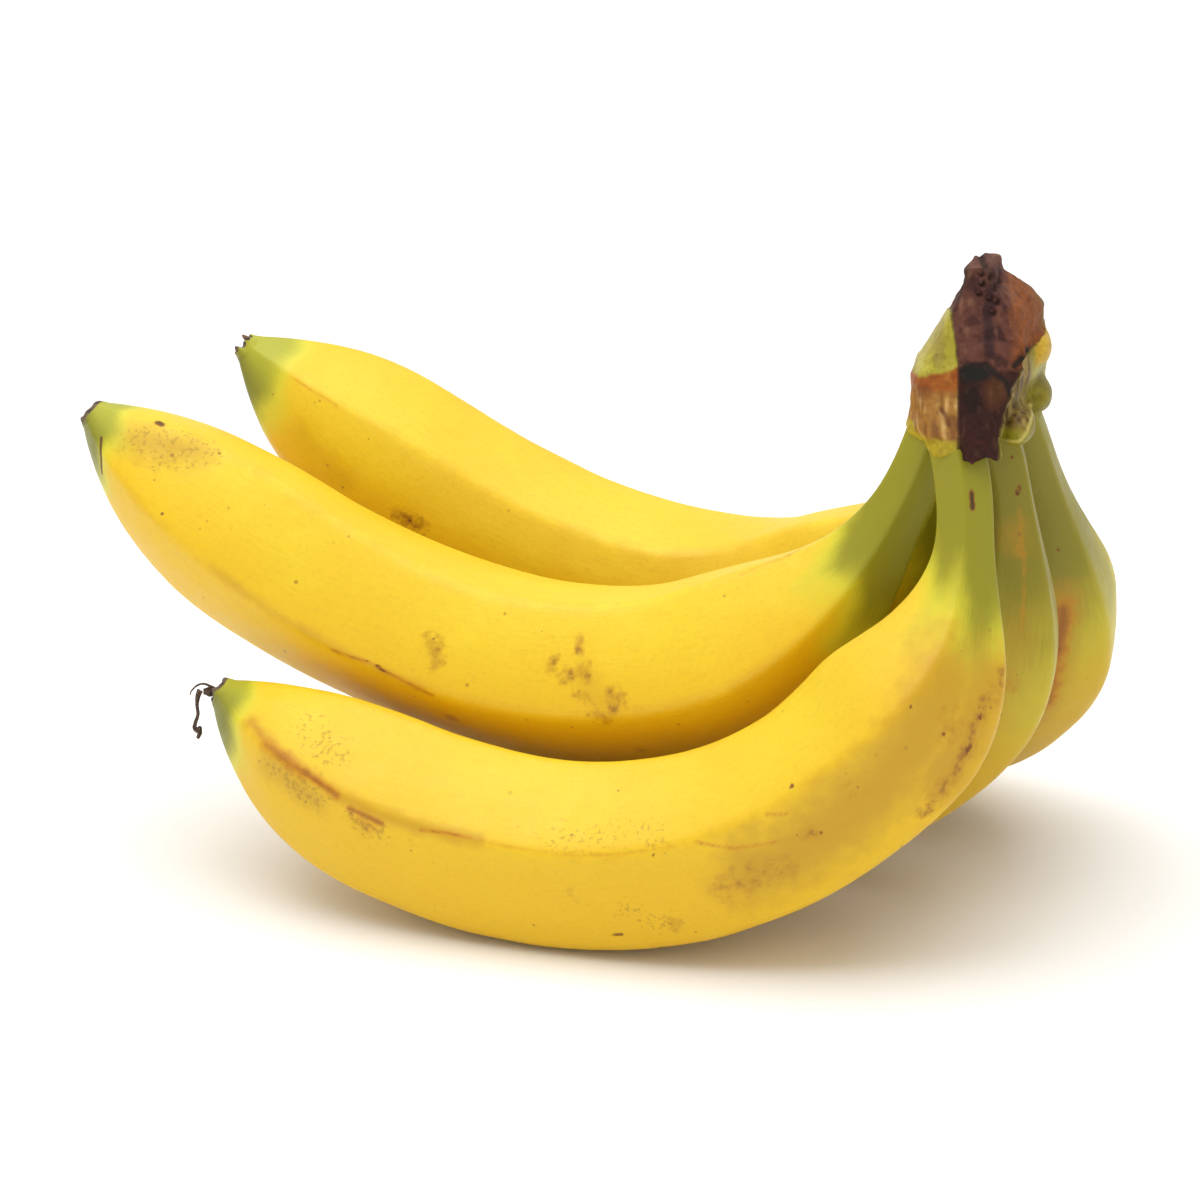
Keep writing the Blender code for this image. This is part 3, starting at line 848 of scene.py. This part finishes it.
def collar_field(x, y, z, fruit, reach, extra):
    """A tapering sleeve round the top of one stalk."""
    _, points, directions, _ = spine(fruit)
    a = points[0] - directions[0] * COLLAR_START
    b = points[round(reach / fruit["length"] * SPINE_STEPS)]
    ab = b - a
    t = ((x - a[0]) * ab[0] + (y - a[1]) * ab[1] + (z - a[2]) * ab[2]) / (ab @ ab)
    held = np.clip(t, 0.0, 1.0)
    gap = np.sqrt((x - a[0] - ab[0] * held) ** 2 + (y - a[1] - ab[1] * held) ** 2
                  + (z - a[2] - ab[2] * held) ** 2)
    radius = fruit["radius"] * STALK_SHARE + extra * (1.0 - 0.75 * held ** 2)
    side_wall = gap - radius
    end = (t - 1.0) * np.linalg.norm(ab) - 0.3
    return smooth_max(side_wall, end, 0.8)


def net_normals(points, quads):
    """Unit normals of the crown's skin."""
    a, b, c, d = (points[quads[:, k]] for k in range(4))
    face = np.cross(c - a, d - b)
    total = np.zeros_like(points)
    for k in range(4):
        np.add.at(total, quads[:, k], face)
    return total / np.maximum(np.linalg.norm(total, axis=1), 1e-9)[:, None]


def cut_mask(points):
    """How much of the dried cut face each point shows."""
    x, z = points[:, 0], points[:, 2] - FACE_SHIFT
    jag = 0.5 * layered_noise(points, 2.5, 71)
    left = np.interp(z, (107.0, 126.0, 130.0, 136.0, 139.0, 141.0), (72.2, 72.2, 71.8, 70.8, 70.4, 60.0))
    right = np.interp(
        z,
        (107.0, 109.0, 113.8, 117.7, 121.6, 125.0, 126.0, 128.0, 129.5),
        (80.4, 80.8, 81.0, 82.4, 83.6, 85.2, 87.2, 91.0, 99.0),
    )
    across = np.minimum(x + 0.4 * jag - left, right - x - jag)
    face = ease(-0.35, 0.35, across) * ease(-25.0, -45.0, points[:, 1])
    top = ease(138.5, 141.0, z + 1.2 * jag + 0.15 * (points[:, 1] + 50.0))
    return np.maximum(face, top)


def near_route(x, z, route, width):
    """1 along a run of (x, height) points, fading to 0 at the given width."""
    gap = np.full(len(x), 1e9)
    for (x0, z0), (x1, z1) in zip(route, route[1:]):
        dx, dz = x1 - x0, z1 - z0
        t = np.clip(((x - x0) * dx + (z - z0) * dz) / (dx * dx + dz * dz), 0.0, 1.0)
        gap = np.minimum(gap, np.hypot(x - x0 - dx * t, z - z0 - dz * t))
    return ease(width, 0.25 * width, gap)


def blend(base, colour, weight):
    """Mix one colour into an array of colours."""
    return base + (np.array(colour) - base) * np.clip(weight, 0.0, 1.0)[:, None]


def layered(base, layers):
    """Mix (colour, weight) layers into an array of colours, one after another."""
    for colour, weight in layers:
        base = blend(base, colour, weight)
    return base


def blob(x, z, middle, half, ragged):
    """1 inside a ragged oval on the front of the crown."""
    return ease(1.45, 0.55, np.hypot((x - middle[0]) / half[0], (z - middle[1]) / half[1]) + 0.3 * ragged)


def paint_skin(points, strings, fine, broad):
    """Green and torn skin of the crown, and how stringy it is, with painted highlights along its raised edges
    and painted shade in the hollow inside the left edge.
    """
    x, y, z = points[:, 0], points[:, 1], points[:, 2] - FACE_SHIFT
    on_left = ease(73.2, 72.4, x) * ease(-26.0, -34.0, y)
    on_right = ease(80.6, 82.0, x) * ease(-34.0, -42.0, y)
    band = on_left * ease(126.2, 125.4, z + 0.5 * fine + 0.28 * (72.0 - x))
    tan = on_left * ease(122.0, 120.2, z + 1.0 * broad + 0.8 * fine)
    stringy = on_right * ease(127.5, 125.5, z) * ease(90.0, 87.0, x) * ease(111.5, 114.0, z)
    # Painted shade: a darker strip down the hollow inside the raised left edge.
    left_hollow_shade = near_route(x, z, ((68.6, 133.5), (68.2, 127.0)), 1.6)
    # Painted highlight: a pale line along the raised left edge of the skin.
    left_edge_highlight = near_route(x, z, ((71.0, 137.5), (66.2, 129.0), (64.4, 125.0)), 0.9)
    left_split = near_route(x + 0.4 * fine, z, ((68.8, 117.8), (69.5, 116.6), (70.1, 114.6)), 0.8)
    # Painted highlight: a pale rim line along the lower right lobe's edge.
    right_rim_highlight = near_route(x, z, ((82.0, 109.4), (85.2, 109.9), (88.4, 114.6)), 0.7)
    skin = np.tile(np.array([0.37, 0.315, 0.030]), (len(points), 1))
    skin = layered(skin, (
        ((0.47, 0.41, 0.050), ease(-0.2, 0.6, broad)),
        ((0.27, 0.235, 0.012), ease(119.0, 110.0, z + 2.0 * broad)),
        ((0.30, 0.235, 0.045), on_left * left_hollow_shade * 0.8),
        ((0.52, 0.46, 0.120), on_left * left_edge_highlight * 0.5),
        ((0.31, 0.082, 0.010), band),
        ((0.42, 0.170, 0.020), band * ease(0.1, 0.7, fine) * 0.7),
        ((0.37, 0.175, 0.034), tan),
        ((0.56, 0.33, 0.100), tan * ease(0.05, 0.6, strings)),
        ((0.21, 0.080, 0.020), tan * ease(0.15, 0.7, -strings) * 0.8),
        ((0.10, 0.025, 0.010), left_split * on_left * 0.7),
        ((0.17, 0.040, 0.010), blob(x, z, (65.2, 120.8), (2.0, 1.5), fine) * on_left * 0.6),
        ((0.46, 0.350, 0.020), on_left * ease(111.8, 110.4, z)),
        ((0.150, 0.080, 0.016), stringy * (0.75 + 0.3 * broad)),
        ((0.33, 0.225, 0.055), stringy * ease(0.05, 0.6, strings)),
        ((0.055, 0.026, 0.010), stringy * ease(0.15, 0.7, -strings) * 0.85),
        ((0.60, 0.375, 0.030), ease(88.6, 90.2, x) * ease(121.5, 123.5, z) * ease(131.5, 129.5, z)),
        ((0.235, 0.190, 0.008), ease(86.5, 88.5, x) * ease(121.0, 119.0, z) * ease(-34.0, -42.0, y)),
        ((0.66, 0.53, 0.140), on_right * right_rim_highlight * 0.65),
        ((0.07, 0.028, 0.012), ease(136.0, 139.0, z + 1.5 * fine) * 0.9)))
    return skin, np.clip(stringy + tan, 0.0, 1.0)


def paint_cut(points, strings, fine, broad):
    """Dried face of the cut: brown above, orange-brown on the right and nearly black below, with painted shade
    in its right corner and at its top left, and painted highlights in its pits.
    """
    x, z = points[:, 0], points[:, 2] - FACE_SHIFT
    middling = layered_noise(points, 2.6, 87)
    low = ease(125.6, 123.8, z + 0.8 * fine - 0.10 * np.abs(x - 77.0))
    groove = near_route(x, z, ((78.9, 141.0), (78.3, 135.0), (78.6, 128.4)), 1.7)
    arch = near_route(x, z, ((73.4, 125.6), (75.2, 126.2), (78.0, 126.4), (79.6, 124.8), (82.0, 122.8),
                             (83.2, 119.8)), 1.0)
    # Painted shade: a near-black line in the dark corner on the right of the cut face.
    right_corner_shade = near_route(x, z, ((87.6, 126.6), (85.0, 127.4), (83.8, 126.0)), 1.1)
    dried = np.tile(np.array([0.130, 0.046, 0.030]), (len(points), 1))
    dried = layered(dried, (
        ((0.240, 0.100, 0.055), ease(0.0, 0.5, broad) * 0.9),
        ((0.046, 0.014, 0.012), ease(0.0, 0.5, middling) * 0.85),
        ((0.27, 0.130, 0.070), ease(0.25, 0.8, strings) * 0.5),
        ((0.27, 0.078, 0.014), ease(82.0, 85.5, x + 1.5 * fine) * ease(144.0, 141.0, z) * 0.85),
        ((0.13, 0.036, 0.010), ease(82.0, 85.5, x) * ease(0.1, 0.6, middling) * 0.8),
        ((0.026, 0.011, 0.014), groove * 0.8),
        ((0.045, 0.014, 0.013), blob(x, z, (78.2, 141.5), (4.4, 4.0), fine) * 0.6),
        # Painted shadow: dark grey at the top left of the cut, where the skin's edge shades it.
        ((0.050, 0.030, 0.022), ease(72.8, 71.6, x - 0.35 * (z - 138.0)) * ease(137.0, 139.0, z) * 0.8),
        ((0.036, 0.0095, 0.0065), low),
        ((0.105, 0.036, 0.010), low * blob(x, z, (80.0, 121.0), (2.6, 3.4), fine) * 0.7),
        ((0.012, 0.006, 0.004), low * blob(x, z, (75.2, 119.5), (1.9, 3.4), fine) * 0.7),
        ((0.085, 0.016, 0.012), low * ease(114.5, 111.5, z) * ease(-0.3, 0.5, middling) * 0.8),
        ((0.012, 0.009, 0.007), arch * 0.85),
        ((0.012, 0.011, 0.008), blob(x, z, (75.2, 124.6), (4.0, 1.5), fine)),
        ((0.020, 0.011, 0.006), right_corner_shade)))
    # Each pit gets a darkened centre, painted shade in its hollow, and a pale spot just up and to the left, a
    # painted highlight on its rim.
    for pit_x, pit_z in PITS:
        gap = np.hypot(x - pit_x, z - pit_z)
        pit_highlight_place = np.hypot(x - pit_x + 0.25, z - pit_z - 0.35)
        dried = layered(dried, (
            ((0.030, 0.010, 0.008), ease(0.95, 0.35, gap + 0.3 * fine) * 0.85),
            ((0.24, 0.12, 0.08), ease(0.42, 0.15, pit_highlight_place) * 0.6)))
    return blend(dried, (0.15, 0.060, 0.030), low * ease(0.35, 0.8, strings) * 0.25)


def paint_crown(points, cut):
    """Colour and stringiness for each point of the crown."""
    fine = layered_noise(points, 1.6, 81)
    broad = layered_noise(points, 6.0, 83)
    strings = noise(points * np.array([1.0, 1.0, 0.22]) @ turn_matrix(24.0), 0.9, 85)
    skin, torn = paint_skin(points, strings, fine, broad)
    dried = paint_cut(points, strings, fine, broad)
    colour = skin + (dried - skin) * cut[:, None]
    return blend(colour, (0.05, 0.020, 0.010), (1.0 - np.abs(2.0 * cut - 1.0)) * 0.75), torn * (1.0 - cut)


def turn_matrix(degrees):
    """Turn about Y, used to tilt the run of the torn strings."""
    c, s = math.cos(math.radians(degrees)), math.sin(math.radians(degrees))
    return np.array([[c, 0.0, s], [0.0, 1.0, 0.0], [-s, 0.0, c]])


PITS = ((77.0, 143.9), (79.2, 143.3), (77.2, 142.0), (80.0, 141.2), (81.4, 141.8), (78.8, 139.1), (80.2, 138.5),
        (77.8, 145.2), (79.4, 136.4), (76.6, 140.2))


def make_crown():
    """The cut cushion of stem that the stalks grow from."""
    axes = [np.arange(CROWN_LOW[k], CROWN_HIGH[k], CROWN_STEP) for k in range(3)]
    x, y, z = np.meshgrid(*axes, indexing="ij")
    field = crown_field(x, y, z).astype(np.float32)
    points, quads = surface_net(field, CROWN_LOW, CROWN_STEP)
    normals = net_normals(points, quads)
    cut = cut_mask(points)
    colour, torn = paint_crown(points, cut)
    relief = 0.35 * layered_noise(points, 7.0, 91)
    relief += cut * (0.42 * layered_noise(points, 2.2, 93) - 0.45)
    relief *= 1.0 - 0.75 * ease(CROWN_TOP - 2.2, CROWN_TOP - 0.6, points[:, 2])
    relief += torn * 0.45 * noise(points * np.array([1.0, 1.0, 0.25]) @ turn_matrix(24.0), 1.1, 85)
    for pit_x, pit_z in PITS:
        gap = np.hypot(points[:, 0] - pit_x, points[:, 2] - FACE_SHIFT - pit_z)
        relief -= 0.9 * cut * np.exp(-(gap / 0.60) ** 2)
        relief += 0.25 * cut * np.exp(-((gap - 1.1) / 0.45) ** 2)
    points = points + normals * relief[:, None]
    points[:, 2] = np.minimum(points[:, 2], CROWN_TOP)
    piece = add_mesh("crown_stem", points, quads)
    add_colour(piece, "paint", colour)
    add_float(piece, "dry", cut)
    piece.data.materials.append(crown_material())
    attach(piece, "root")
    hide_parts("crown")


def crown_material():
    """Dried cut stem and torn green skin."""
    n = Nodes("crown_stem")
    place = n.place()
    paint = n.attribute("paint", "Color")
    dry = n.attribute("dry")
    grain = n.noise(place, 650.0, 5.0, 0.65)
    flecks = n.noise(place, 1500.0, 3.0)
    blotch = n.noise(place, 260.0, 4.0, 0.6)
    dark = n.mix(n.ramp(grain, 0.42, 0.70, 0.0, 0.55), paint,
                 n.mix(1.0, paint, rgb(0.45, 0.38, 0.36), "MULTIPLY"))
    pale_dry = n.times(dry, n.ramp(flecks, 0.56, 0.74, 0.0, 0.42))
    light = n.mix(pale_dry, dark, n.mix(1.0, paint, rgb(2.0, 1.75, 1.6), "MULTIPLY"))
    uneven = n.mix(n.ramp(blotch, 0.40, 0.68, 0.0, 0.28), light,
                   n.mix(1.0, paint, rgb(0.62, 0.52, 0.48), "MULTIPLY"))
    n.link(uneven, n.shader.inputs["Base Color"])
    n.link(n.plus(0.46, n.times(dry, 0.26)), n.shader.inputs["Roughness"])
    rough = n.plus(0.15, n.times(dry, 0.85))
    height = n.times(n.plus(grain, n.times(blotch, 1.5)), rough)
    n.link(n.bump(height, 0.55, 0.0009), n.shader.inputs["Normal"])
    n.shader.inputs["Specular IOR Level"].default_value = 0.20
    n.shader.inputs["Subsurface Weight"].default_value = 0.05
    n.shader.inputs["Subsurface Radius"].default_value = (1.0, 0.5, 0.15)
    n.shader.inputs["Subsurface Scale"].default_value = 0.002
    return n.material


# ------------------------------------------------------------
# The dried flower remains on the front banana's tip
# ------------------------------------------------------------
def smooth_path(handles, count):
    """Points on a smooth curve through the handles."""
    handles = np.array(handles, dtype=float)
    ends = np.vstack([handles[0] * 2.0 - handles[1], handles, handles[-1] * 2.0 - handles[-2]])
    place = np.linspace(0.0, len(handles) - 1, count)
    k = np.minimum(place.astype(int), len(handles) - 2)
    t = (place - k)[:, None]
    a, b, c, d = ends[k], ends[k + 1], ends[k + 2], ends[k + 3]
    return 0.5 * (2.0 * b + (c - a) * t + (2.0 * a - 5.0 * b + 4.0 * c - d) * t * t
                  + (3.0 * b - a - 3.0 * c + d) * t * t * t)


def add_thread(name, node, handles, radii, rows=140, columns=20, seed=1):
    """A wrinkled, tapering thread of dried fibre."""
    path = smooth_path(handles, rows)
    heading = np.gradient(path, axis=0)
    heading /= np.linalg.norm(heading, axis=1)[:, None]
    first = np.cross(heading, np.array([0.0, 1.0, 0.0]))
    first /= np.linalg.norm(first, axis=1)[:, None]
    second = np.cross(heading, first)
    radius = np.interp(np.linspace(0, 1, rows), np.linspace(0, 1, len(radii)), radii)
    turn = np.arange(columns) * 2.0 * math.pi / columns
    wrinkle = 1.0 + 0.22 * np.cos(3.0 * turn[None, :] + np.linspace(0, 9, rows)[:, None])
    outward = (first[:, None, :] * np.cos(turn)[None, :, None]
               + second[:, None, :] * np.sin(turn)[None, :, None])
    grid = path[:, None, :] + outward * (radius[:, None] * wrinkle)[..., None]
    points = grid.reshape(-1, 3)
    swell = 0.18 * np.repeat(radius, columns) * layered_noise(points, 0.8, seed)
    points = points + outward.reshape(-1, 3) * swell[:, None]
    quads, caps = grid_faces(rows, columns)
    piece = add_mesh(name, points, quads[:, ::-1], [cap[::-1] for cap in caps])
    piece.data.materials.append(dried_material(name))
    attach(piece, "root")
    if node is not None:
        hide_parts(node)
    return piece


def dried_material(name):
    """Brittle brown fibre."""
    n = Nodes(name)
    place = n.place()
    grain = n.noise(place, 1600.0, 4.0)
    broad = n.noise(place, 420.0, 3.0)
    colour = n.mix(n.ramp(grain, 0.38, 0.68), rgb(0.030, 0.018, 0.012), rgb(0.16, 0.095, 0.055))
    stained = n.mix(n.ramp(broad, 0.45, 0.70, 0.0, 0.6), colour, rgb(0.055, 0.024, 0.012))
    n.link(stained, n.shader.inputs["Base Color"])
    n.link(n.ramp(grain, 0.3, 0.7, 0.70, 0.92), n.shader.inputs["Roughness"])
    n.link(n.bump(grain, 0.6, 0.0003), n.shader.inputs["Normal"])
    return n.material


def make_flower_remains():
    """The stub, its side filament and the hanging thread, placed from their CAD boxes."""
    stub_low, stub_high = (np.array(corner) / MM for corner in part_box("flower_stub"))
    low, high = (np.array(corner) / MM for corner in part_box("flower_thread"))
    middle = (stub_low + stub_high) / 2.0
    right = np.array([stub_high[0] - 0.6, middle[1], stub_high[2] - 1.6])
    left = np.array([stub_low[0] + 0.7, middle[1] - 0.1, stub_low[2] + 0.9])
    centre = (right + left) / 2.0 + np.array([0.0, 0.0, -0.2])
    add_thread("flower_stub_dried", "flower_stub", (right + (right - left) * 0.12, right, centre, left),
               (1.55, 1.25, 0.85, 0.70, 0.95, 0.60), rows=90, columns=36, seed=5)
    filament = (centre + (0.6, -0.4, 0.9), centre + (-1.6, -0.5, 1.9), left + (-1.3, -0.3, 1.6),
                left + (-2.6, 0.0, 0.3), left + (-2.9, 0.1, -0.7))
    add_thread("flower_filament", None, filament, (0.30, 0.24, 0.20, 0.16, 0.12), seed=7)
    top = np.array([(low[0] + high[0]) / 2.0 + 0.1, (low[1] + high[1]) / 2.0, high[2] + 0.2])
    drop = low[2] - top[2]
    hang = [top + (dx, dy, drop * share) for dx, dy, share in (
        (0.5, 0.0, 0.0), (0.1, 0.1, 0.12), (-0.1, 0.0, 0.30), (0.1, -0.1, 0.50), (-0.55, -0.1, 0.68),
        (-0.75, 0.0, 0.78), (-0.1, -0.2, 0.84), (0.35, -0.1, 0.78), (0.30, 0.1, 0.90), (-0.15, 0.0, 1.0))]
    add_thread("flower_thread_dried", "flower_thread", hang,
               (0.62, 0.50, 0.36, 0.34, 0.40, 0.46, 0.44, 0.40, 0.42, 0.34), rows=200, seed=9)


# ------------------------------------------------------------
# Studio
# ------------------------------------------------------------
def make_camera():
    """Camera at the viewing angle, aimed from the frame's box."""
    low, high = (Vector(corner) for corner in CAD_BOX)
    aim = (low + high) / 2.0 + CAMERA_AIM * MM
    tilt = math.radians(CAMERA_ELEVATION)
    data = bpy.data.cameras.new("camera")
    data.lens = CAMERA_LENS
    data.sensor_width = SENSOR_WIDTH
    camera = bpy.data.objects.new("camera", data)
    camera.location = aim + Vector((0.0, -math.cos(tilt), math.sin(tilt))) * CAMERA_DISTANCE * MM
    camera.rotation_euler = (math.radians(90.0) - tilt, 0.0, 0.0)
    bpy.context.collection.objects.link(camera)
    bpy.context.scene.camera = camera


def add_light(name, place, aim, size, power):
    """Square soft light."""
    data = bpy.data.lights.new(name, "AREA")
    data.size = size
    data.energy = power
    light = bpy.data.objects.new(name, data)
    light.location = place
    light.rotation_euler = (Vector(aim) - Vector(place)).to_track_quat("-Z", "Y").to_euler()
    bpy.context.collection.objects.link(light)


def make_floor():
    """Plain pale floor."""
    height = CAD_BOX[0][2]
    corners = [(FLOOR_HALF * x, FLOOR_HALF * y, height) for x, y in ((-1, -1), (1, -1), (1, 1), (-1, 1))]
    mesh = bpy.data.meshes.new("floor")
    mesh.from_pydata(corners, [], [(0, 1, 2, 3)])
    floor = bpy.data.objects.new("floor", mesh)
    n = Nodes("floor")
    n.shader.inputs["Base Color"].default_value = rgb(0.93, 0.93, 0.925)
    n.shader.inputs["Roughness"].default_value = 0.9
    n.shader.inputs["Specular IOR Level"].default_value = 0.1
    mesh.materials.append(n.material)
    bpy.context.collection.objects.link(floor)


def make_studio():
    """White room light with a soft key from the upper left."""
    scene = bpy.context.scene
    scene.view_settings.view_transform = "Standard"
    world = bpy.data.worlds.new("studio")
    world.use_nodes = True
    background = world.node_tree.nodes["Background"]
    background.inputs["Color"].default_value = rgb(1.0, 1.0, 1.0)
    background.inputs["Strength"].default_value = ROOM_LIGHT
    scene.world = world
    for name, place, size, power in LIGHTS:
        add_light(name, place, LIGHT_AIM, size, power)
    make_floor()


make_camera()
for fruit_name, fruit_facts in FRUITS.items():
    make_fruit(fruit_name, fruit_facts)
make_crown()
make_flower_remains()
make_studio()
